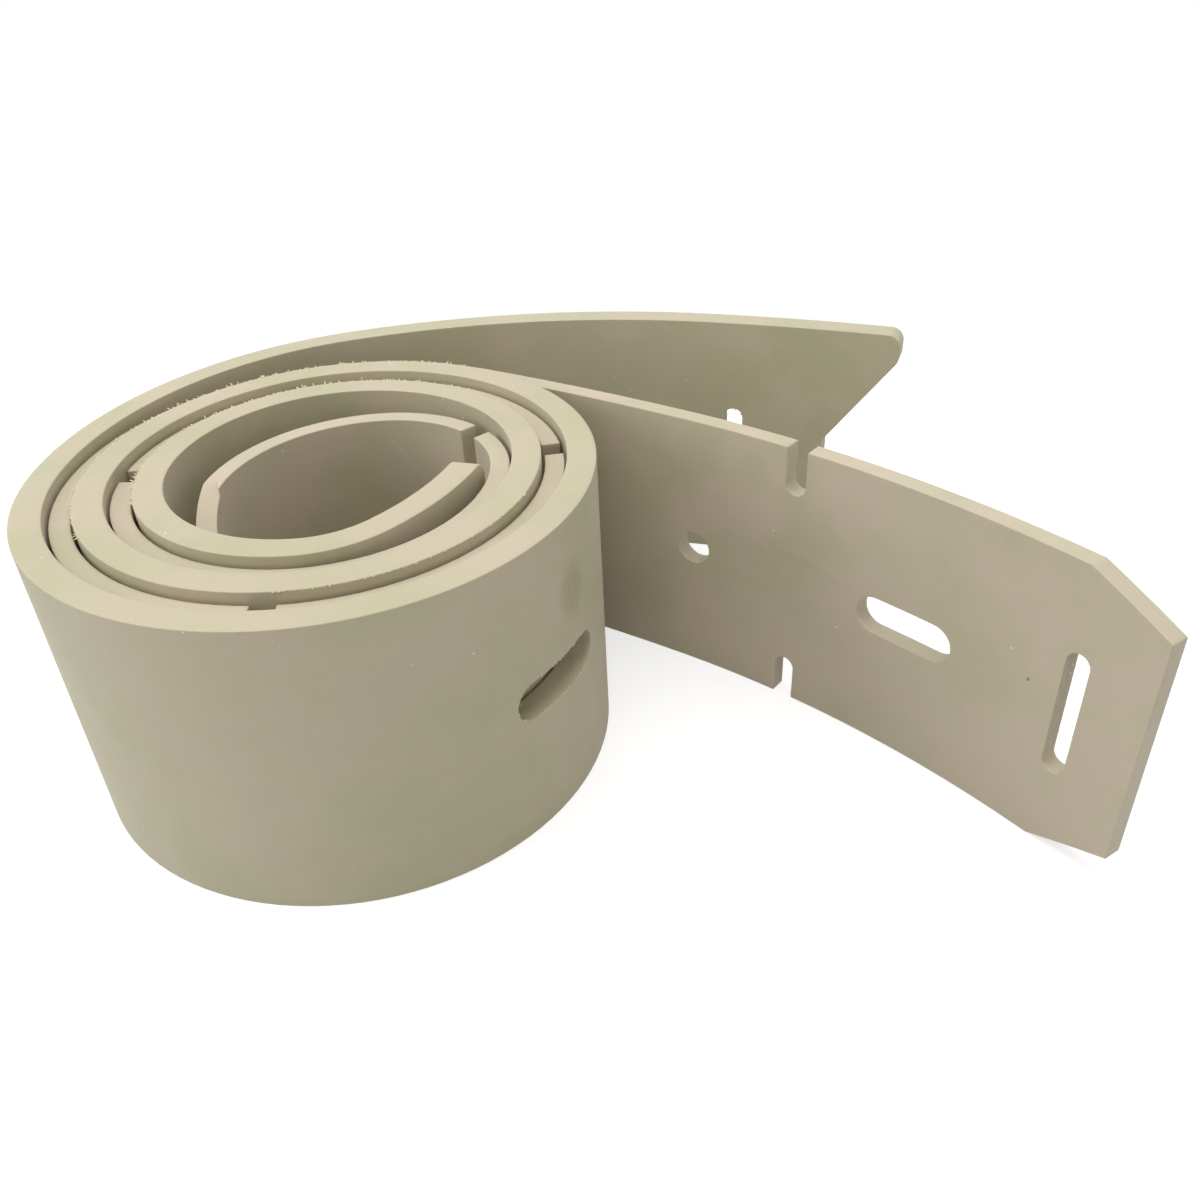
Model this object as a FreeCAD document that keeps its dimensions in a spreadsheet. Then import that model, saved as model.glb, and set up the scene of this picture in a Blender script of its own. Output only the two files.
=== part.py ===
"""Floor scrubber squeegee blade set: a thick rear blade and a thin front blade, both flat
strips of gum rubber, rolled up together and stood on edge with their outer ends left loose.

Seen from above, each strip follows tangent arcs, listed from its loose outer end inwards.
An arm angle is the direction from an arc's centre to the strip, so the strip itself runs 90
degrees ahead of it.  The roll is a four-centre spiral: every quarter turn has a radius that
is a quarter of the pitch smaller than the one before.  Lengths in mm, angles in degrees.
"""
import FreeCAD, Part
import math
import os

SIZES = {
    "rear_width": 53.4,
    "rear_thickness": 4.8,
    "front_width": 51.6,
    "front_thickness": 3.2,
    "roll_gap": 0.5,              # free space on each side of the front blade in the roll
    "first_turn_radius": 45.25,   # rear blade's middle, first quarter turn of the roll
    # rear blade's loose tail: three arcs that tighten towards the roll
    "rear_tail_radius": 300.0,
    "rear_tail_sweep": 7.5,
    "rear_bend_radius": 133.0,
    "rear_bend_sweep": 32.0,
    "rear_entry_extra": 12.25,    # entry arc's radius over the first turn's
    "rear_entry_sweep": 74.0,
    # rear blade's inner end: tucked in, then springing straighter
    "rear_tuck": 7.0,
    "rear_tuck_sweep": 45.0,
    "rear_spring": 23.0,
    "rear_spring_sweep": 28.0,
    # front blade's loose tail, which leaves the roll around the rear blade's second turn
    "front_tail_radius": 205.0,
    "front_tail_sweep": 24.1,
    "front_run_radius": 430.0,
    "front_run_sweep": 6.0,
    "front_leave_sweep": 29.5,
    # front blade's inner end, which stands off the rear blade
    "front_slack": 5.75,
    "front_ease": 0.5,
    "front_end_sweep": 113.0,
    # rear blade's cut-outs; a place is a length along the blade from an end
    "tail_slot_place": 33.0,
    "tail_slot_length": 15.8,
    "tail_slot_width": 4.0,
    "bolt_slot_place": 302.0,
    "bolt_slot_length": 21.0,
    "bolt_slot_width": 7.0,
    "swallowtail_depth": 13.8,
    "swallowtail_root": 4.8,
    "swallowtail_tip": 5.4,
    "tip_round": 2.5,
    # front blade's cut-outs
    "end_slot_place": 12.0,
    "end_slot_length": 22.6,
    "end_slot_width": 3.8,
    "long_slot_place": 41.8,
    "long_slot_length": 18.0,
    "long_slot_width": 7.0,
    "hole_place": 84.8,
    "hole_diameter": 6.4,
    "notch_width": 3.8,
    "notch_depth": 8.6,
    "notch_place_1": 64.5,
    "notch_place_2": 175.0,
    "notch_place_3": 285.0,
    "notch_place_4": 352.0,
    "notch_place_5": 456.0,
    "notch_place_6": 568.0,
    "chamfer_run": 13.5,
    "chamfer_rise": 5.6,
    "cut_reach": 2.4,             # how far a cut runs past each face of its blade
}
NOTCHES = 6
REAR_QUARTERS = 9
FRONT_QUARTERS = 7
QUARTER = 90
ROLL_START = 180                  # arm angle where the first quarter turn begins

doc = FreeCAD.newDocument("squeegee_blade_set")
sheet = doc.addObject("Spreadsheet::Sheet", "Sizes")
for row, (alias, number) in enumerate(SIZES.items(), start=1):
    sheet.set(f"A{row}", alias)
    sheet.set(f"B{row}", str(number))
    sheet.setAlias(f"B{row}", alias)
doc.recompute()

Z_AXIS = FreeCAD.Vector(0, 0, 1)
PITCH = "(Sizes.rear_thickness + Sizes.front_thickness + 2 * Sizes.roll_gap)"


def size(alias):
    """The number in a cell of the size sheet."""
    return float(getattr(sheet, alias))


def bind(thing, **expressions):
    """Bind an object's properties to expressions of the size sheet."""
    for name, expression in expressions.items():
        thing.setExpression(name, expression)


def spiral_radius(quarter):
    """Radius of the rear blade's middle in a quarter turn of the roll."""
    return f"(Sizes.first_turn_radius - {quarter} * {PITCH} / 4)"


def rear_arcs():
    """Radius, first arm angle and sweep of each arc of the rear blade."""
    entry = f"({ROLL_START} - Sizes.rear_entry_sweep)"
    bend = f"({entry} - Sizes.rear_bend_sweep)"
    core = ROLL_START + REAR_QUARTERS * QUARTER
    arcs = [
        ("Sizes.rear_tail_radius", f"({bend} - Sizes.rear_tail_sweep)", "Sizes.rear_tail_sweep"),
        ("Sizes.rear_bend_radius", bend, "Sizes.rear_bend_sweep"),
        ("Sizes.first_turn_radius + Sizes.rear_entry_extra", entry, "Sizes.rear_entry_sweep"),
    ]
    for quarter in range(REAR_QUARTERS):
        arcs.append((spiral_radius(quarter), str(ROLL_START + quarter * QUARTER), str(QUARTER)))
    inner = spiral_radius(REAR_QUARTERS)
    arcs.append((f"{inner} - Sizes.rear_tuck", str(core), "Sizes.rear_tuck_sweep"))
    arcs.append((f"{inner} + Sizes.rear_spring", f"({core} + Sizes.rear_tuck_sweep)",
                 "Sizes.rear_spring_sweep"))
    return arcs


def front_arcs():
    """The same for the front blade, which runs midway between the rear blade's turns."""
    start = ROLL_START - QUARTER
    leave = f"({start} - Sizes.front_leave_sweep)"
    run = f"({leave} - Sizes.front_run_sweep)"
    arcs = [
        ("Sizes.front_tail_radius", f"({run} - Sizes.front_tail_sweep)", "Sizes.front_tail_sweep"),
        ("Sizes.front_run_radius", run, "Sizes.front_run_sweep"),
        (f"{spiral_radius(2)} + {PITCH} / 2", leave, "Sizes.front_leave_sweep"),
    ]
    for quarter in range(FRONT_QUARTERS):
        radius = f"({spiral_radius(quarter - 1)} - {PITCH} / 2)"
        arcs.append((radius, str(start + quarter * QUARTER), str(QUARTER)))
    core = start + FRONT_QUARTERS * QUARTER
    turn, last = (f"({spiral_radius(FRONT_QUARTERS + n)} - {PITCH} / 2)" for n in (-1, 0))
    arcs.append((f"{turn} - Sizes.front_slack", str(core), str(QUARTER)))
    arcs.append((f"{last} + Sizes.front_ease", str(core + QUARTER), "Sizes.front_end_sweep"))
    return arcs


class Strip:
    """A rubber strip stood on edge: ring sectors along its arcs, one carrying on from another."""

    def __init__(self, name, arcs, anchor):
        self.name = name
        self.width = f"Sizes.{name}_width"
        self.thickness = f"Sizes.{name}_thickness"
        self.rims = []
        sectors = []
        for number, arc in enumerate(arcs):
            rim, sector = self.ring_sector(number, *arc)
            self.rims.append(rim)
            sectors.append(sector)
        for number in range(anchor + 1, len(arcs)):
            self.carry_on(number, number - 1, arcs[number][1])
        for number in range(anchor - 1, -1, -1):
            self.carry_on(number, number + 1, arcs[number + 1][1])
        self.band = doc.addObject("Part::MultiFuse", f"{name}_band")
        self.band.Shapes = sectors
        self.band.Refine = True
        doc.recompute()
        self.starts = [self.angle(arc[1]) for arc in arcs]
        self.radii = [rim.Radius.Value - size(f"{name}_thickness") / 2 for rim in self.rims]
        self.length = sum(self.arc_length(number) for number in range(len(arcs)))

    def ring_sector(self, number, radius, start, sweep):
        """One arc of the strip: a sector of its outer cylinder less its inner cylinder."""
        rim = doc.addObject("Part::Cylinder", f"{self.name}_rim_{number}")
        bind(rim, Radius=f"{radius} + {self.thickness} / 2", Height=self.width, Angle=sweep)
        rim.Placement.Rotation = FreeCAD.Rotation(Z_AXIS, self.angle(start) % 360)
        bore = doc.addObject("Part::Cylinder", f"{self.name}_bore_{number}")
        bind(bore, Radius=f"{radius} - {self.thickness} / 2", Height=self.width,
             Placement=f"{rim.Name}.Placement")
        sector = doc.addObject("Part::Cut", f"{self.name}_arc_{number}")
        sector.Base = rim
        sector.Tool = bore
        return rim, sector

    def carry_on(self, number, neighbour, join):
        """Centre an arc so that it is tangent to its neighbour at the join's arm angle."""
        rim, other = self.rims[number], self.rims[neighbour]
        change = f"({other.Name}.Radius - {rim.Name}.Radius)"
        bind(rim, **{
            "Placement.Base.x": f"{other.Name}.Placement.Base.x + {change} * cos({join})",
            "Placement.Base.y": f"{other.Name}.Placement.Base.y + {change} * sin({join})",
        })

    def angle(self, expression):
        """The number of degrees that an angle expression stands for."""
        return float(sheet.evalExpression(expression))

    def arc_length(self, number):
        return self.radii[number] * math.radians(self.rims[number].Angle.Value)

    def frame_at(self, length, height):
        """Frame on the strip's middle: X outwards, Y along the strip inwards, Z up."""
        number = 0
        while number < len(self.radii) - 1 and length > self.arc_length(number):
            length -= self.arc_length(number)
            number += 1
        arm = self.starts[number] + math.degrees(length / self.radii[number])
        turn = FreeCAD.Rotation(Z_AXIS, arm % 360)
        reach = turn.multVec(FreeCAD.Vector(self.radii[number], 0, height))
        return FreeCAD.Placement(self.rims[number].Placement.Base + reach, turn)

    def depth(self):
        return f"{self.thickness} + 2 * Sizes.cut_reach"

    def hole_tool(self, name, diameter, frame):
        """A round cutter across the strip."""
        pin = doc.addObject("Part::Cylinder", name)
        bind(pin, Radius=f"{diameter} / 2", Height=self.depth())
        half = size(f"{self.name}_thickness") / 2 + size("cut_reach")
        across = FreeCAD.Placement(FreeCAD.Vector(-half, 0, 0),
                                   FreeCAD.Rotation(FreeCAD.Vector(0, 1, 0), 90))
        pin.Placement = frame * across
        return pin

    def slot_tool(self, name, length, width, frame, upright):
        """A round-ended cutter across the strip, along it or upright."""
        half_depth = size(f"{self.name}_thickness") / 2 + size("cut_reach")
        half_run = (size(length) - size(width)) / 2
        half_width = size(width) / 2
        middle = doc.addObject("Part::Box", f"{name}_middle")
        bind(middle, Length=self.depth(), Width=f"Sizes.{length} - Sizes.{width}",
             Height=f"Sizes.{width}")
        middle.Placement.Base = FreeCAD.Vector(-half_depth, -half_run, -half_width)
        ends = []
        for side in (-1, 1):
            shift = FreeCAD.Placement(FreeCAD.Vector(0, side * half_run, 0), FreeCAD.Rotation())
            ends.append(self.hole_tool(f"{name}_end_{len(ends)}", f"Sizes.{width}", shift))
        tool = doc.addObject("Part::MultiFuse", name)
        tool.Shapes = [middle] + ends
        tip = FreeCAD.Rotation(FreeCAD.Vector(1, 0, 0), QUARTER if upright else 0)
        tool.Placement = frame * FreeCAD.Placement(FreeCAD.Vector(), tip)
        return tool

    def taper_tool(self, name, run, mouth, root, frame):
        """A tapering cutter from an end of the strip: low and high edge at mouth and root."""
        tool = doc.addObject("Part::Wedge", name)
        half_depth = f"({self.thickness} / 2 + Sizes.cut_reach)"
        bind(tool, Xmin=f"-{half_depth}", Xmax=half_depth, X2min=f"-{half_depth}",
             X2max=half_depth, Ymin="0", Ymax=run, Zmin=mouth[0], Zmax=mouth[1],
             Z2min=root[0], Z2max=root[1])
        tool.Placement = frame
        return tool

    def end_frames(self, height):
        """Frames at both ends, each with Y pointing into the strip."""
        about = FreeCAD.Placement(FreeCAD.Vector(), FreeCAD.Rotation(Z_AXIS, 180))
        return self.frame_at(0, height), self.frame_at(self.length, height) * about

    def cut(self, tools):
        blade = doc.addObject("Part::Cut", f"{self.name}_cut")
        cutters = doc.addObject("Part::MultiFuse", f"{self.name}_cutters")
        cutters.Shapes = tools
        blade.Base = self.band
        blade.Tool = cutters
        blade.Refine = True
        doc.recompute()
        return blade


def rear_blade():
    """Thick blade: swallowtail ends, an upright slot near each end, two long bolt slots."""
    strip = Strip("rear", rear_arcs(), anchor=3)
    middle = size("rear_width") / 2
    tools = []
    for side in (0, 1):
        for kind, upright in (("tail_slot", True), ("bolt_slot", False)):
            place = size(f"{kind}_place")
            frame = strip.frame_at(strip.length - place if side else place, middle)
            tools.append(strip.slot_tool(f"{kind}_{side}", f"{kind}_length", f"{kind}_width",
                                         frame, upright))
    mouth = "(Sizes.rear_width / 2 - Sizes.swallowtail_tip)"
    root = "Sizes.swallowtail_root / 2"
    for side, frame in enumerate(strip.end_frames(middle)):
        tools.append(strip.taper_tool(f"swallowtail_{side}", "Sizes.swallowtail_depth",
                                      (f"-{mouth}", mouth), (f"-{root}", root), frame))
    square_ended = strip.cut(tools)

    corners = []
    for number, edge in enumerate(square_ended.Shape.Edges, start=1):
        at = edge.CenterOfMass
        for frame in strip.end_frames(at.z):
            if at.distanceToPoint(frame.Base) < 0.1:
                corners.append((number, size("tip_round"), size("tip_round")))
    blade = doc.addObject("Part::Fillet", "rear_blade")
    blade.Base = square_ended
    blade.Edges = corners
    return blade, strip


def front_blade():
    """Thin blade: drain notches in both edges, chamfered ends, and slots and holes to hang it."""
    strip = Strip("front", front_arcs(), anchor=4)
    top = size("front_width")
    middle = top / 2
    tools = []
    for side in (0, 1):
        place = size("end_slot_place")
        frame = strip.frame_at(strip.length - place if side else place, middle)
        tools.append(strip.slot_tool(f"end_slot_{side}", "end_slot_length", "end_slot_width",
                                     frame, upright=True))
        place = size("hole_place")
        frame = strip.frame_at(strip.length - place if side else place, middle)
        tools.append(strip.hole_tool(f"hole_{side}", "Sizes.hole_diameter", frame))
    tools.append(strip.slot_tool("long_slot", "long_slot_length", "long_slot_width",
                                 strip.frame_at(size("long_slot_place"), middle), upright=False))
    half_notch = size("notch_width") / 2
    for number in range(1, NOTCHES + 1):
        for edge, into in (("lower", 1), ("upper", -1)):
            tip = (0 if into > 0 else top) + into * (size("notch_depth") - half_notch)
            frame = strip.frame_at(size(f"notch_place_{number}"), tip)
            name = f"notch_{number}_{edge}"
            pin = strip.hole_tool(f"{name}_root", "Sizes.notch_width", frame)
            mouth = doc.addObject("Part::Box", f"{name}_mouth")
            bind(mouth, Length=strip.depth(), Width="Sizes.notch_width", Height="Sizes.notch_depth")
            half_depth = size("front_thickness") / 2 + size("cut_reach")
            drop = -size("notch_depth") if into > 0 else 0
            low = FreeCAD.Vector(-half_depth, -half_notch, drop)
            mouth.Placement = frame * FreeCAD.Placement(low, FreeCAD.Rotation())
            tools.extend((pin, mouth))
    rise = "Sizes.chamfer_rise"
    for side, frame in enumerate(strip.end_frames(0)):
        tools.append(strip.taper_tool(f"lower_chamfer_{side}", "Sizes.chamfer_run",
                                      (f"-{rise}", rise), (f"-{rise}", "0"), frame))
    for side, frame in enumerate(strip.end_frames(top)):
        tools.append(strip.taper_tool(f"upper_chamfer_{side}", "Sizes.chamfer_run",
                                      (f"-{rise}", rise), ("0", rise), frame))
    blade = strip.cut(tools)
    return blade, strip


def main():
    blades = {}
    for label, make in (("rear_blade", rear_blade), ("front_blade", front_blade)):
        blade, strip = make()
        blade.Label = label
        blades[label] = blade
        print(label, "flat length", round(strip.length, 2))
    doc.recompute()

    # the origin is under the middle of the two blades' common box
    box = FreeCAD.BoundBox()
    for blade in blades.values():
        box.add(blade.Shape.optimalBoundingBox(False, False))
    for blade in blades.values():
        blade.Placement.Base = FreeCAD.Vector(-box.Center.x, -box.Center.y, 0)
    doc.recompute()

    for thing in doc.Objects:
        if {"Invalid", "Error"} & set(thing.State):
            raise RuntimeError(f"{thing.Name} failed: {thing.State}")
    for label, blade in blades.items():
        shape = blade.Shape
        if shape.isNull() or not shape.isValid() or len(shape.Solids) != 1:
            raise RuntimeError(f"{label} is not one valid solid")

    os.makedirs("parts", exist_ok=True)
    for label, blade in blades.items():
        blade.Shape.exportStep(f"parts/{label}.step")
        print(label, "volume", round(blade.Shape.Volume, 1), blade.Shape.BoundBox)


main()
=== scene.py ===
"""Looks of two floor-scrubber squeegee blades rolled up together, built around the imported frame.

The blades keep the frame's shape. Each is copied, its sharp edges are eased, and its cut faces get
the slightly crumbly surface that a knife or punch leaves in soft rubber. Lengths are in metres.
"""
import math
import random

import bmesh
import bpy
from mathutils import Matrix, Vector, noise


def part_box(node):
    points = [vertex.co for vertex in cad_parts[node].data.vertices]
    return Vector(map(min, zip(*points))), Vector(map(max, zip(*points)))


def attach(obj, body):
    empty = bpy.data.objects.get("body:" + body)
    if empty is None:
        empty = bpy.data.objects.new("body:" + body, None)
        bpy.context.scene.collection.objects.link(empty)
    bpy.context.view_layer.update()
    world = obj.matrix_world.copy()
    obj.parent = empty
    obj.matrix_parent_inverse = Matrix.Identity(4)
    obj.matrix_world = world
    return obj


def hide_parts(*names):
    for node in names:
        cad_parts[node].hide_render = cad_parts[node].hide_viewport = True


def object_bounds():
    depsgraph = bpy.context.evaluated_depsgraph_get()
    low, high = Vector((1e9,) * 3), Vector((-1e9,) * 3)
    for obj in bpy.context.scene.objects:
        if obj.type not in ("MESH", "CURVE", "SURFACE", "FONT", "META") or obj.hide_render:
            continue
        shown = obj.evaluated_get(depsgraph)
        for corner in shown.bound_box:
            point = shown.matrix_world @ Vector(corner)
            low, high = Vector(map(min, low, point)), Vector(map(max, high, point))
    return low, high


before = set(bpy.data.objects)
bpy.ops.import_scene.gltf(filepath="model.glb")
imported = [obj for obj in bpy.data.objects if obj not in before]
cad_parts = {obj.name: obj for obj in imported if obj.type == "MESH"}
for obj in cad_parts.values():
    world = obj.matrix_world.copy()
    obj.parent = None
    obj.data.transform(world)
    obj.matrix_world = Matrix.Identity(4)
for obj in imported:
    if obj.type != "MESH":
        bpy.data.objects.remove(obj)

cad_box = [list(corner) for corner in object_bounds()]

MM = 0.001
UP = Vector((0, 0, 1))
REAR, FRONT = "rear_blade", "front_blade"
ROLLED, SLIT, PUNCHED, END, CORNER = range(5)   # a blade's faces, and the material slot of each
SHARP = math.radians(28)

WELD = 0.002 * MM                         # CAD vertices nearer than this are one vertex
FLAT = math.radians(0.5)                  # faces that meet at less than this are one face
ROLLED_SHARE = 1 / 6                      # a rolled face holds more than this share of its blade's area
OPPOSED = 0.5                             # the mean normal of a hole's walls is shorter than this
UPRIGHT = 0.3                             # an end cut's mean normal leans less than this from level
EDGE_ROUND = 0.14 * MM                    # how far the cut corners are eased
CUT_MESH = 0.8 * MM                       # longest mesh edge on a cut face
SLIT_ROUGHNESS = 0.02 * MM                # how far the slit long edges wander
PUNCH_ROUGHNESS = 0.13 * MM               # the same inside punched slots, holes and notches
CORNER_ROUGHNESS = 0.05 * MM              # and at the corners of the punched cuts
TORN_SIZE, GRAIN_SIZE = 2.2 * MM, 0.7 * MM   # sizes of the coarse and fine unevenness
MAX_SPLITS = 7

ROLL_CENTRE = Vector((-0.036, -0.006, 0))


# ---------------------------------------------------------------- blade geometry

def cad_bmesh(cad_node):
    """The CAD mesh of a node, welded, with its faces sorted into rolled, slit, punched and end faces."""
    bm = bmesh.new()
    bm.from_mesh(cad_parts[cad_node].data)
    bmesh.ops.remove_doubles(bm, verts=bm.verts, dist=WELD)
    bmesh.ops.dissolve_limit(bm, angle_limit=FLAT, verts=bm.verts, edges=bm.edges)
    whole = sum(face.calc_area() for face in bm.faces)
    for faces in smooth_regions(bm):
        area = sum(face.calc_area() for face in faces)
        facing = sum((face.normal * face.calc_area() for face in faces), Vector()) / area
        if area > whole * ROLLED_SHARE:
            kind = ROLLED
        elif facing.length < OPPOSED:
            kind = PUNCHED
        else:
            kind = END if abs(facing.z) < UPRIGHT else SLIT
        for face in faces:
            face.material_index = kind
    return bm


def is_sharp(edge):
    return len(edge.link_faces) == 2 and edge.calc_face_angle(0) > SHARP


def smooth_regions(bm):
    """Groups of faces that join each other without a sharp edge."""
    seen, groups = set(), []
    for first in bm.faces:
        if first in seen:
            continue
        seen.add(first)
        group, queue = [], [first]
        while queue:
            face = queue.pop()
            group.append(face)
            for edge in face.edges:
                if is_sharp(edge):
                    continue
                for other in edge.link_faces:
                    if other not in seen:
                        seen.add(other)
                        queue.append(other)
        groups.append(group)
    return groups


def refine_cut_faces(bm):
    """Splits the long edges on and around the cut faces, so that their surface can be roughened."""
    for _ in range(MAX_SPLITS):
        triangulate(bm)
        long_edges = [e for e in bm.edges if e.calc_length() > CUT_MESH
                      and any(f.material_index != ROLLED for f in e.link_faces)]
        if not long_edges:
            return
        bmesh.ops.subdivide_edges(bm, edges=long_edges, cuts=1)
    triangulate(bm)


def triangulate(bm):
    """Triangulates every face but the eased corners, whose strips stay quads."""
    bmesh.ops.triangulate(bm, faces=[f for f in bm.faces if f.material_index != CORNER and len(f.verts) > 3])


def roughen_cut_faces(bm, seed):
    """Moves the vertices of the cut faces along their normals: little on slit edges, more in punched cuts."""
    shift = Vector((seed, 0, 0))
    bm.normal_update()
    for v in bm.verts:
        kinds = {f.material_index for f in v.link_faces}
        if ROLLED in kinds:
            continue
        depth = SLIT_ROUGHNESS
        if PUNCHED in kinds:
            depth = CORNER_ROUGHNESS if CORNER in kinds else PUNCH_ROUGHNESS
        coarse = noise.noise(v.co / TORN_SIZE + shift)
        fine = noise.noise(v.co / GRAIN_SIZE + shift)
        v.co += v.normal * depth * (0.4 * coarse + 0.6 * fine)


def new_object(name, bm):
    mesh = bpy.data.meshes.new(name)
    bm.to_mesh(mesh)
    bm.free()
    if "custom_normal" in mesh.attributes:
        mesh.attributes.remove(mesh.attributes["custom_normal"])
    mesh.shade_smooth()
    obj = bpy.data.objects.new(name, mesh)
    bpy.context.scene.collection.objects.link(obj)
    return obj


def eased_blade(cad_node, name, seed):
    """A copy of a CAD blade with eased corners and roughened cut faces."""
    bm = cad_bmesh(cad_node)
    # The clamp would narrow every corner to suit the shortest edge of the smallest hole.
    bmesh.ops.bevel(bm, geom=[e for e in bm.edges if is_sharp(e)], offset=EDGE_ROUND, offset_type="OFFSET",
                    segments=2, profile=0.5, affect="EDGES", clamp_overlap=False, material=CORNER)
    refine_cut_faces(bm)
    roughen_cut_faces(bm, seed)
    blade = new_object(name, bm)
    weigh = blade.modifiers.new("weigh", "WEIGHTED_NORMAL")
    weigh.mode = "FACE_AREA"
    weigh.weight = 50
    apply_modifiers(blade)
    return blade


def apply_modifiers(obj):
    graph = bpy.context.evaluated_depsgraph_get()
    mesh = bpy.data.meshes.new_from_object(obj.evaluated_get(graph), depsgraph=graph)
    obj.modifiers.clear()
    obj.data = mesh


# ---------------------------------------------------------------- materials

def node(tree, kind, **values):
    made = tree.nodes.new(kind)
    for key, value in values.items():
        setattr(made, key, value)
    return made


def noise_node(tree, coordinates, scale, detail, rough=0.55):
    """A noise of 0 to 1, whose scale is in features per metre."""
    made = node(tree, "ShaderNodeTexNoise")
    made.inputs["Scale"].default_value = scale
    made.inputs["Detail"].default_value = detail
    made.inputs["Roughness"].default_value = rough
    tree.links.new(coordinates, made.inputs["Vector"])
    return made.outputs["Fac"]


def stretch(tree, coordinates, scale):
    """Coordinates with a scale of their own along each axis."""
    made = node(tree, "ShaderNodeMapping")
    made.inputs["Scale"].default_value = scale
    tree.links.new(coordinates, made.inputs["Vector"])
    return made.outputs["Vector"]


def ramp(tree, value, low, high, to=(0.0, 1.0)):
    """A smooth step from one number to another while the value goes from low to high."""
    made = node(tree, "ShaderNodeMapRange", interpolation_type="SMOOTHSTEP")
    for socket, number in zip(("From Min", "From Max", "To Min", "To Max"), (low, high, *to)):
        made.inputs[socket].default_value = number
    tree.links.new(value, made.inputs["Value"])
    return made.outputs["Result"]


def math_node(tree, operation, a, b):
    made = node(tree, "ShaderNodeMath", operation=operation)
    for socket, value in zip(made.inputs, (a, b)):
        if isinstance(value, (int, float)):
            socket.default_value = value
        else:
            tree.links.new(value, socket)
    return made.outputs["Value"]


def blend_colour(tree, amount, under, over):
    """Mixes two colours; each is a socket or an RGB triple."""
    made = node(tree, "ShaderNodeMix", data_type="RGBA")
    factor, a, b = made.inputs[0], made.inputs[6], made.inputs[7]
    for socket, value in ((factor, amount), (a, under), (b, over)):
        if isinstance(value, (int, float)):
            socket.default_value = value
        elif isinstance(value, tuple):
            socket.default_value = (*value, 1)
        else:
            tree.links.new(value, socket)
    return made.outputs[2]


def spot(tree, coordinates, centre, radii, turn=(0, 0, 0), inner=0.35):
    """1 inside a soft ellipsoid about a point of the object, 0 outside."""
    local = node(tree, "ShaderNodeMapping", vector_type="TEXTURE")
    local.inputs["Location"].default_value = centre
    local.inputs["Rotation"].default_value = turn
    local.inputs["Scale"].default_value = radii
    tree.links.new(coordinates, local.inputs["Vector"])
    length = node(tree, "ShaderNodeVectorMath", operation="LENGTH")
    tree.links.new(local.outputs["Vector"], length.inputs[0])
    return ramp(tree, length.outputs["Value"], inner, 1.0, (1.0, 0.0))


def specks(tree, coordinates, scale, radius, share):
    """Small round specks in a share of the cells of a Voronoi pattern."""
    cells = node(tree, "ShaderNodeTexVoronoi", voronoi_dimensions="3D")
    cells.inputs["Scale"].default_value = scale
    tree.links.new(coordinates, cells.inputs["Vector"])
    split = node(tree, "ShaderNodeSeparateColor")
    tree.links.new(cells.outputs["Color"], split.inputs["Color"])
    near = ramp(tree, cells.outputs["Distance"], radius * 0.6, radius, (1.0, 0.0))
    chosen = math_node(tree, "LESS_THAN", split.outputs["Red"], share)
    return math_node(tree, "MULTIPLY", near, chosen)


def bump(tree, height, distance, strength, under=None):
    """A bumped normal, over another one if that is given."""
    made = node(tree, "ShaderNodeBump")
    made.inputs["Strength"].default_value = strength
    made.inputs["Distance"].default_value = distance
    tree.links.new(height, made.inputs["Height"])
    if under is not None:
        tree.links.new(under, made.inputs["Normal"])
    return made.outputs["Normal"]


def new_material(name):
    """A new material, its node tree, its main shader and its object coordinates."""
    material = bpy.data.materials.new(name)
    material.use_nodes = True
    tree = material.node_tree
    shader = tree.nodes["Principled BSDF"]
    coordinates = node(tree, "ShaderNodeTexCoord").outputs["Object"]
    return material, tree, shader, coordinates


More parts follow.
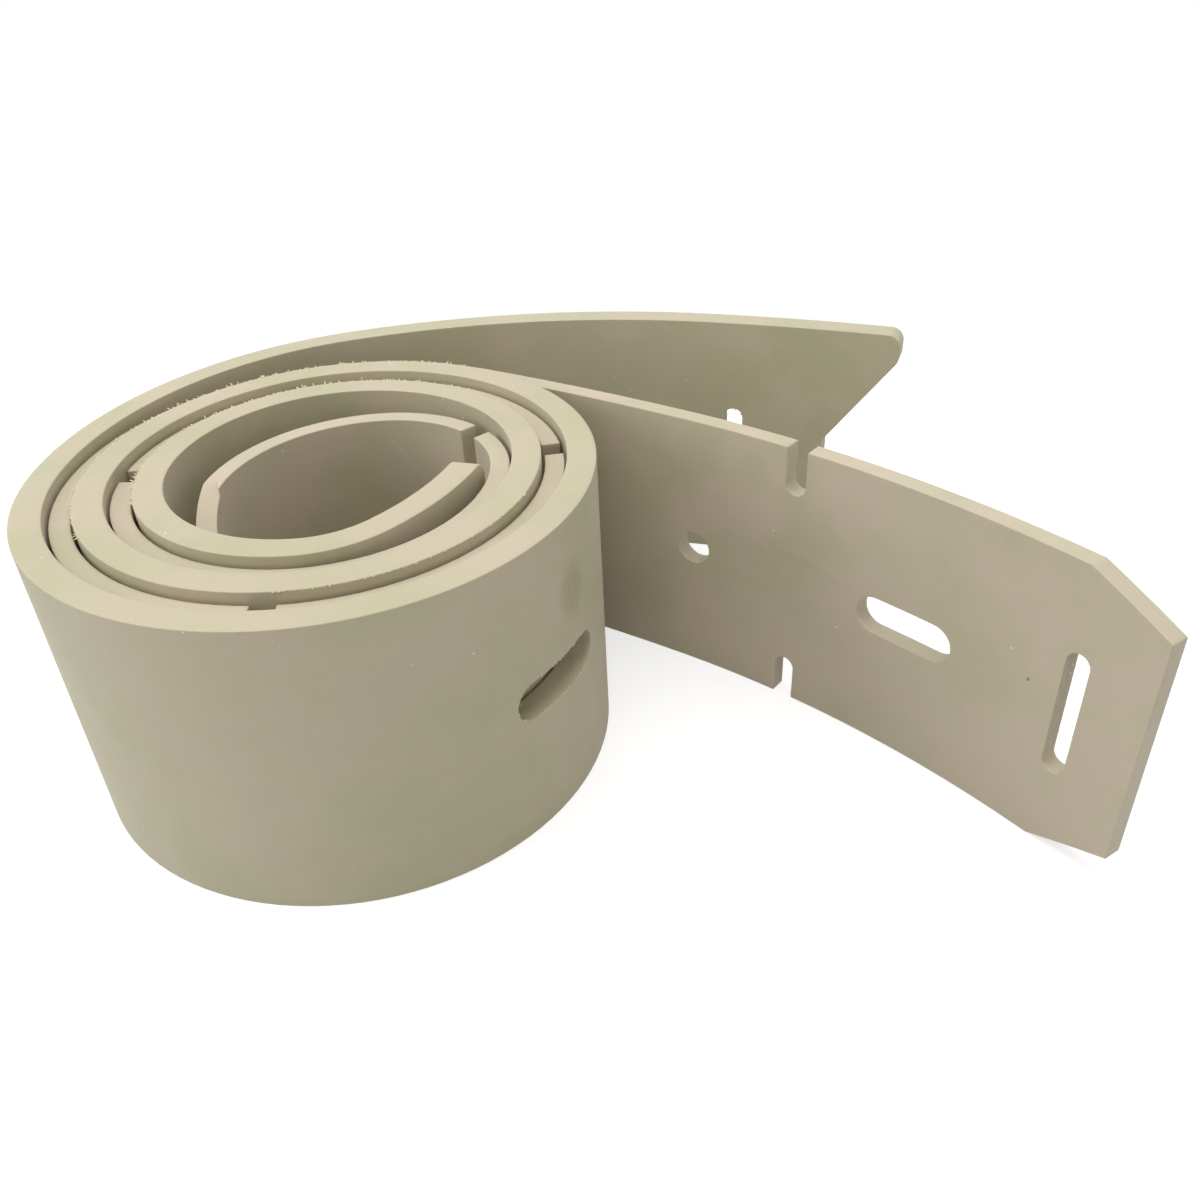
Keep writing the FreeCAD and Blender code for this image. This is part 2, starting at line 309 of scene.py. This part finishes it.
def rolled_rubber(name, base, cool, warm, marks=()):
    """Rolled rubber face: cloudy colour, faint calender lines along the strip, fine matte grain, dust.

    base, cool and warm are linear colours. Each mark is (centre, radii, turn, colour, strength)."""
    material, tree, shader, coordinates = new_material(name)
    clouds = ramp(tree, noise_node(tree, coordinates, 34, 3), 0.38, 0.62)
    patches = ramp(tree, noise_node(tree, coordinates, 75, 4), 0.40, 0.66)
    lines = noise_node(tree, stretch(tree, coordinates, (30, 30, 500)), 1.0, 3)
    grain = noise_node(tree, coordinates, 4200, 4, 0.7)
    colour = blend_colour(tree, clouds, cool, base)
    colour = blend_colour(tree, math_node(tree, "MULTIPLY", patches, 0.75), colour, warm)
    paler = tuple(min(1.0, c * 1.10) for c in base)
    darker = tuple(c * 0.82 for c in base)
    colour = blend_colour(tree, ramp(tree, lines, 0.50, 0.85, (0.0, 0.20)), colour, paler)
    colour = blend_colour(tree, ramp(tree, grain, 0.46, 0.76, (0.0, 0.42)), colour, darker)
    dust = specks(tree, coordinates, 190, 0.045, 0.55)
    colour = blend_colour(tree, math_node(tree, "MULTIPLY", dust, 0.7), colour, (0.82, 0.79, 0.70))
    grit = specks(tree, coordinates, 300, 0.05, 0.14)
    colour = blend_colour(tree, math_node(tree, "MULTIPLY", grit, 0.35), colour, (0.18, 0.14, 0.085))
    dotted = ramp(tree, noise_node(tree, coordinates, 3000, 3), 0.35, 0.65, (0.4, 1.0))
    for centre, radii, turn, tint, strength in marks:
        mask = math_node(tree, "MULTIPLY", spot(tree, coordinates, centre, radii, turn), dotted)
        colour = blend_colour(tree, math_node(tree, "MULTIPLY", mask, strength), colour, tint)
    tree.links.new(colour, shader.inputs["Base Color"])
    tree.links.new(ramp(tree, patches, 0.0, 1.0, (0.58, 0.72)), shader.inputs["Roughness"])
    shader.inputs["Specular IOR Level"].default_value = 0.32
    shader.inputs["Sheen Weight"].default_value = 0.12
    shader.inputs["Sheen Roughness"].default_value = 0.6
    soft = bump(tree, lines, 0.10 * MM, 0.15)
    tree.links.new(bump(tree, grain, 0.05 * MM, 0.6, soft), shader.inputs["Normal"])
    return material


def cut_rubber(name, base, dark, pale, torn_scale=900, torn_depth=0.12 * MM):
    """Cut rubber: drier than the rolled face, with torn grain, pale crumbs and a few pits. Its base colour
    holds painted light and shade: lit on level cuts, shaded on end cuts and punched walls, a highlight on
    eased corners.
    """
    material, tree, shader, coordinates = new_material(name)
    clouds = ramp(tree, noise_node(tree, coordinates, 45, 3), 0.35, 0.68)
    torn = noise_node(tree, coordinates, torn_scale, 5, 0.68)
    grain = noise_node(tree, coordinates, 3400, 3, 0.6)
    colour = blend_colour(tree, math_node(tree, "MULTIPLY", clouds, 0.6), base, pale)
    colour = blend_colour(tree, ramp(tree, torn, 0.50, 0.78, (0.0, 0.40)), colour, dark)
    colour = blend_colour(tree, ramp(tree, grain, 0.46, 0.64, (0.0, 0.75)), colour, dark)
    crumbs = specks(tree, coordinates, 700, 0.16, 0.25)
    colour = blend_colour(tree, math_node(tree, "MULTIPLY", crumbs, 0.5), colour, (0.86, 0.82, 0.70))
    pits = specks(tree, coordinates, 520, 0.08, 0.025)
    colour = blend_colour(tree, math_node(tree, "MULTIPLY", pits, 0.40), colour, (0.30, 0.25, 0.15))
    tree.links.new(colour, shader.inputs["Base Color"])
    tree.links.new(ramp(tree, torn, 0.2, 0.8, (0.70, 0.86)), shader.inputs["Roughness"])
    shader.inputs["Specular IOR Level"].default_value = 0.22
    coarse = bump(tree, torn, torn_depth, 0.35)
    tree.links.new(bump(tree, grain, 0.05 * MM, 0.5, coarse), shader.inputs["Normal"])
    return material


# ---------------------------------------------------------------- burrs and crumbs

def cut_edges(cad_node, first, second):
    """Sharp edges of a CAD node between two kinds of face, as (one end, other end, first's normal)."""
    bm = cad_bmesh(cad_node)
    found = []
    for edge in bm.edges:
        if not is_sharp(edge):
            continue
        faces = sorted(edge.link_faces, key=lambda f: f.material_index != first)
        if (faces[0].material_index, faces[1].material_index) == (first, second):
            found.append((*(v.co.copy() for v in edge.verts), faces[0].normal.copy()))
    bm.free()
    return found


BURR_DEPTH = 0.10 * MM                    # how deep a sliver is rooted in the rubber
BURR_TOP = 0.01 * MM                      # edges lower than this under the top get no slivers
CRUMB_LUMPS = 0.10 * MM                   # size of the lumps on a crumb


def burr(bm, root, out, along, length, width, lean):
    """A torn sliver of rubber: a thin tapering blade that curls as it leaves the edge."""
    def direction(curl):
        return out * math.sin(curl) + UP * math.cos(curl)

    corners = ((-1, -1), (1, -1), (1, 1), (-1, 1))
    rings = []
    for step, share in enumerate((1.0, 0.75, 0.4)):
        travel = length * step / 2.4
        middle = root + direction(lean + step / 4) * travel + along * travel * 0.25
        half, deep = along * width * share / 2, out * width * share / 4
        rings.append([bm.verts.new(middle + half * a + deep * b) for a, b in corners])
    tip = bm.verts.new(root + direction(lean + 0.8) * length + along * length * 0.3)
    for low, high in zip(rings, rings[1:]):
        for i in range(4):
            bm.faces.new((low[i], low[(i + 1) % 4], high[(i + 1) % 4], high[i]))
    for i in range(4):
        bm.faces.new((rings[-1][i], rings[-1][(i + 1) % 4], tip))
    bm.faces.new(rings[0][::-1])


def edge_burrs(name, cad_node, windings, seed):
    """Slivers along the outward upper edge of some windings.

    Each winding is (inner radius, outer radius, from, to, slivers per metre, longest) about the roll's
    centre, with the angles in degrees from +X."""
    chance = random.Random(seed)
    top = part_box(cad_node)[1].z - BURR_TOP
    bm = bmesh.new()
    for a, b, out in cut_edges(cad_node, ROLLED, SLIT):
        middle, along = (a + b) / 2, (b - a)
        arm = (middle - ROLL_CENTRE).xy
        angle = math.degrees(math.atan2(arm.y, arm.x)) % 360
        if middle.z < top or out.xy.dot(arm) < 0:
            continue
        for inner, outer, start, end, per_metre, longest in windings:
            if not (inner < arm.length < outer and start <= angle <= end):
                continue
            for _ in range(int(along.length * per_metre + chance.random())):
                root = middle + along * (chance.random() - 0.5) - (out + UP) * BURR_DEPTH
                length = longest * (0.35 + 0.65 * chance.random() ** 2)
                side = along.normalized() * chance.choice((-1, 1))
                width = (0.16 + 0.24 * chance.random()) * MM
                burr(bm, root, out, side, length, width, chance.uniform(0.2, 1.3))
    return new_object(name, bm)


def punch_crumbs(name, cad_node, per_metre, largest, seed):
    """Crumbs of torn rubber that cling to the rims of the punched slots, holes and notches."""
    chance = random.Random(seed)
    bm = bmesh.new()
    for a, b, out in cut_edges(cad_node, ROLLED, PUNCHED):
        for _ in range(int((b - a).length * per_metre + chance.random())):
            place = a.lerp(b, chance.random()) - out * chance.uniform(0.02, 0.16) * MM
            size = largest * (0.25 + 0.75 * chance.random() ** 2)
            angle = chance.uniform(0, 6.28)
            turn = Matrix.Rotation(angle, 4, Vector([chance.uniform(-1, 1) for _ in range(3)]))
            shape = Matrix.Diagonal((chance.uniform(0.8, 2.2), 1.0, chance.uniform(0.35, 0.8), 1.0))
            grain = bmesh.ops.create_icosphere(bm, subdivisions=1, radius=size,
                                               matrix=Matrix.Translation(place) @ turn @ shape)
            for v in grain["verts"]:
                v.co += (v.co - place) * 0.8 * noise.noise(v.co / CRUMB_LUMPS)
    return new_object(name, bm)


# ---------------------------------------------------------------- the pieces

# Linear colours of the rubber: rolled faces as base, cool and warm clouds, cut faces as base, dark and pale
CREAM_ROLLED = ((0.490, 0.442, 0.305), (0.440, 0.418, 0.268), (0.520, 0.445, 0.322))
TAN_ROLLED = ((0.515, 0.452, 0.330), (0.465, 0.430, 0.290), (0.550, 0.458, 0.350))
# level cut faces: paler than the rolled faces partly as cut rubber, partly as painted light from above
CREAM_CUT_LIT = ((0.710, 0.662, 0.420), (0.585, 0.530, 0.315), (0.740, 0.690, 0.445))
TAN_CUT_LIT = ((0.640, 0.565, 0.385), (0.530, 0.460, 0.295), (0.665, 0.590, 0.405))
# walls of the punched slots, holes and notches: darker than the level cuts as painted shade inside them
CREAM_PUNCH_SHADED = ((0.500, 0.430, 0.275), (0.300, 0.240, 0.130), CREAM_CUT_LIT[0])
TAN_PUNCH_SHADED = ((0.505, 0.425, 0.285), (0.300, 0.235, 0.140), TAN_CUT_LIT[0])
# upright end cuts: darker than the level cuts as painted shade
CREAM_END_SHADED = ((0.470, 0.415, 0.275), (0.360, 0.305, 0.185), CREAM_CUT_LIT[0])
TAN_END_SHADED = ((0.310, 0.272, 0.168), (0.240, 0.205, 0.120), TAN_CUT_LIT[0])
# pale colour of the eased corners: a painted highlight, the thin line of light along the cut edges
CORNER_HIGHLIGHT = (0.930, 0.880, 0.690)

# Marks as (centre, radii, turn, colour, strength)
GRIT, GRIT_SIZE = (0.10, 0.08, 0.06), (0.0004, 0.0004, 0.0004)
GREEN, SCRATCH = (0.29, 0.28, 0.12), (0.62, 0.57, 0.44)
SMEAR, SMEAR_DARK = (0.56, 0.45, 0.36), (0.40, 0.34, 0.22)
LEVEL, SLOPED, STEEP = (0, 0, 0), (0, 0.25, 0), (0, -0.53, 0)
REAR_MARKS = (
    ((0.0037, -0.0285, 0.0405), (0.0050, 0.0050, 0.0066), LEVEL, GREEN, 0.70),
)
FRONT_MARKS = (
    ((0.07163, -0.04117, 0.02845), GRIT_SIZE, LEVEL, GRIT, 1.0),     # by the end slot
    ((-0.05288, -0.01298, 0.04829), GRIT_SIZE, LEVEL, GRIT, 1.0),    # by the inner end
    ((0.0371, -0.0039, 0.0193), (0.0130, 0.0130, 0.0022), SLOPED, SMEAR, 0.55),
    ((0.0450, -0.0090, 0.0300), (0.0110, 0.0110, 0.0012), SLOPED, SMEAR_DARK, 0.30),
    ((-0.0271, 0.0115, 0.0457), (0.0003, 0.0020, 0.0042), STEEP, SCRATCH, 0.55),
    ((-0.0259, 0.0114, 0.0445), (0.0002, 0.0020, 0.0030), STEEP, SCRATCH, 0.45),
)

PUNCHED_LOOK = (700, 0.30 * MM)           # scale and depth of the torn grain in punched cuts

# materials of the eased corners, painted pale as a highlight along the cut edges
cream_corner_highlight = cut_rubber("cream_corner_highlight", CORNER_HIGHLIGHT, CREAM_CUT_LIT[0], CORNER_HIGHLIGHT)
tan_corner_highlight = cut_rubber("tan_corner_highlight", CORNER_HIGHLIGHT, TAN_CUT_LIT[0], CORNER_HIGHLIGHT)
BLADES = (
    # node, body, piece, slot, seed, materials in the order ROLLED, SLIT, PUNCHED, END, CORNER
    (REAR, "rear", "rear_blade_rubber", "cream_gum_rubber", 3.1, (
        rolled_rubber("cream_rolled", *CREAM_ROLLED, REAR_MARKS),
        cut_rubber("cream_slit_lit", *CREAM_CUT_LIT),
        cut_rubber("cream_punched_shaded", *CREAM_PUNCH_SHADED, *PUNCHED_LOOK),
        cut_rubber("cream_end_shaded", *CREAM_END_SHADED),
        cream_corner_highlight)),
    (FRONT, "front", "front_blade_rubber", "tan_gum_rubber", 8.7, (
        rolled_rubber("tan_rolled", *TAN_ROLLED, FRONT_MARKS),
        cut_rubber("tan_slit_lit", *TAN_CUT_LIT),
        cut_rubber("tan_punched_shaded", *TAN_PUNCH_SHADED, *PUNCHED_LOOK),
        cut_rubber("tan_end_shaded", *TAN_END_SHADED),
        tan_corner_highlight)),
)
CRUMBS = {REAR: (1000, 0.22 * MM), FRONT: (600, 0.12 * MM)}   # crumbs per metre of rim, largest radius
BURRS = (
    # inner radius, outer radius, from, to, slivers per metre, longest
    (0.0300, 0.0378, 50, 205, 1700, 0.85 * MM),    # third winding, left and back
    (0.0378, 0.0450, 60, 215, 1700, 0.85 * MM),    # second winding
    (0.0300, 0.0450, 270, 340, 1200, 0.50 * MM),   # a finer fringe at the front
    (0.0455, 0.0520, 150, 205, 350, 0.36 * MM),    # outer winding
)

for node_name, body, piece, slot, seed, materials in BLADES:
    blade = eased_blade(node_name, piece, seed)
    blade.data.materials.clear()
    for material in materials:
        blade.data.materials.append(material)
    crumbs = punch_crumbs(piece + "_crumbs", node_name, *CRUMBS[node_name], int(seed))
    crumbs.data.materials.append(materials[SLIT])
    for obj in (blade, crumbs):
        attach(obj, body)
    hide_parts(node_name)

burrs = edge_burrs("rear_blade_burrs", REAR, BURRS, 5)
burrs.data.materials.append(BLADES[0][-1][SLIT])
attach(burrs, "rear")


# ---------------------------------------------------------------- floor, light and camera

WHITE = 1.0
SHOWN = 0.62                              # share of the floor's white that no shadow can take away
FLOOR_SIZE, FLOOR_SHADE = 6.0, 0.50
FLOOR_NEAR = (0.24, 0.22, 1.0)            # radii inside which the floor keeps its shadow

CAMERA_PLACE, CAMERA_PITCH, CAMERA_ROLL = (0.00775, -0.1689, 0.13545), 34.72, -2.92   # metres, degrees

low, high = (Vector(corner) for corner in cad_box)
centre = (low + high) / 2


def seen_directly(tree):
    """1 for camera, glossy and transmission rays, 0 for the light that reaches the object."""
    path = node(tree, "ShaderNodeLightPath")
    either = math_node(tree, "MAXIMUM", path.outputs["Is Camera Ray"], path.outputs["Is Glossy Ray"])
    return math_node(tree, "MAXIMUM", either, path.outputs["Is Transmission Ray"])


def plain_shader(tree, kind, strength, shade=1.0):
    """A grey or white shader of one kind; strength is None, a number or a socket."""
    made = node(tree, kind)
    made.inputs["Color"].default_value = (shade, shade, shade, 1)
    if isinstance(strength, float):
        made.inputs["Strength"].default_value = strength
    elif strength is not None:
        tree.links.new(strength, made.inputs["Strength"])
    return made.outputs[0]


def make_floor():
    """A matte floor that keeps the soft shadow near the object and is plain white further away."""
    mesh = bpy.data.meshes.new("floor")
    half = FLOOR_SIZE / 2
    corners = [(-half, -half, 0), (half, -half, 0), (half, half, 0), (-half, half, 0)]
    mesh.from_pydata(corners, [], [(0, 1, 2, 3)])
    floor = bpy.data.objects.new("floor", mesh)
    bpy.context.scene.collection.objects.link(floor)
    material = bpy.data.materials.new("floor")
    material.use_nodes = True
    tree = material.node_tree
    tree.nodes.clear()
    coordinates = node(tree, "ShaderNodeTexCoord").outputs["Object"]
    lift = math_node(tree, "MULTIPLY", seen_directly(tree), SHOWN)
    both = node(tree, "ShaderNodeAddShader")
    tree.links.new(plain_shader(tree, "ShaderNodeBsdfDiffuse", None, FLOOR_SHADE), both.inputs[0])
    tree.links.new(plain_shader(tree, "ShaderNodeEmission", lift), both.inputs[1])
    near = spot(tree, coordinates, (*centre.xy, 0), FLOOR_NEAR, inner=0.45)
    far = math_node(tree, "MULTIPLY", math_node(tree, "SUBTRACT", 1.0, near), seen_directly(tree))
    mix = node(tree, "ShaderNodeMixShader")
    tree.links.new(far, mix.inputs[0])
    tree.links.new(both.outputs[0], mix.inputs[1])
    tree.links.new(plain_shader(tree, "ShaderNodeEmission", WHITE), mix.inputs[2])
    out = node(tree, "ShaderNodeOutputMaterial")
    tree.links.new(mix.outputs[0], out.inputs["Surface"])
    mesh.materials.append(material)


def make_world(strength):
    world = bpy.data.worlds.new("studio")
    bpy.context.scene.world = world
    world.use_nodes = True
    tree = world.node_tree
    tree.nodes.clear()
    mix = node(tree, "ShaderNodeMixShader")
    tree.links.new(seen_directly(tree), mix.inputs[0])
    tree.links.new(plain_shader(tree, "ShaderNodeBackground", strength), mix.inputs[1])
    tree.links.new(plain_shader(tree, "ShaderNodeBackground", WHITE), mix.inputs[2])
    out = node(tree, "ShaderNodeOutputWorld")
    tree.links.new(mix.outputs[0], out.inputs["Surface"])


def soft_light(name, place, size, watts, colour=(1, 1, 1)):
    data = bpy.data.lights.new(name, "AREA")
    data.shape = "RECTANGLE"
    data.size, data.size_y = size
    data.energy = watts
    data.color = colour
    light = bpy.data.objects.new(name, data)
    bpy.context.scene.collection.objects.link(light)
    light.location = place
    light.rotation_euler = (centre - Vector(place)).to_track_quat("-Z", "Y").to_euler()


def make_camera():
    """A phone held over the near edge of the table, looking down, tilted a little to one side."""
    data = bpy.data.cameras.new("camera")
    data.sensor_width = 36
    data.lens = 33.0
    data.clip_start = 0.01                # metres; the whole object is close to the camera
    camera = bpy.data.objects.new("camera", data)
    bpy.context.scene.collection.objects.link(camera)
    pitch, roll = math.radians(CAMERA_PITCH), math.radians(CAMERA_ROLL)
    ahead = Vector((0, math.cos(pitch), -math.sin(pitch)))
    above = Vector((0, math.sin(pitch), math.cos(pitch)))
    right = Vector((math.cos(roll), 0, 0)) + above * math.sin(roll)
    up = above * math.cos(roll) - Vector((math.sin(roll), 0, 0))
    turn = Matrix((right, up, -ahead)).transposed().to_4x4()
    camera.matrix_world = Matrix.Translation(CAMERA_PLACE) @ turn
    bpy.context.scene.camera = camera


make_floor()
make_world(0.58)
soft_light("overhead", (-0.10, 0.05, 1.1), (1.3, 1.1), 10.2)
soft_light("left", (-1.1, -0.20, 0.55), (0.7, 0.7), 4.4, (0.96, 0.985, 1.0))
soft_light("right", (0.75, -0.95, 0.40), (0.8, 0.8), 1.0)
make_camera()
bpy.context.scene.view_settings.view_transform = "Standard"
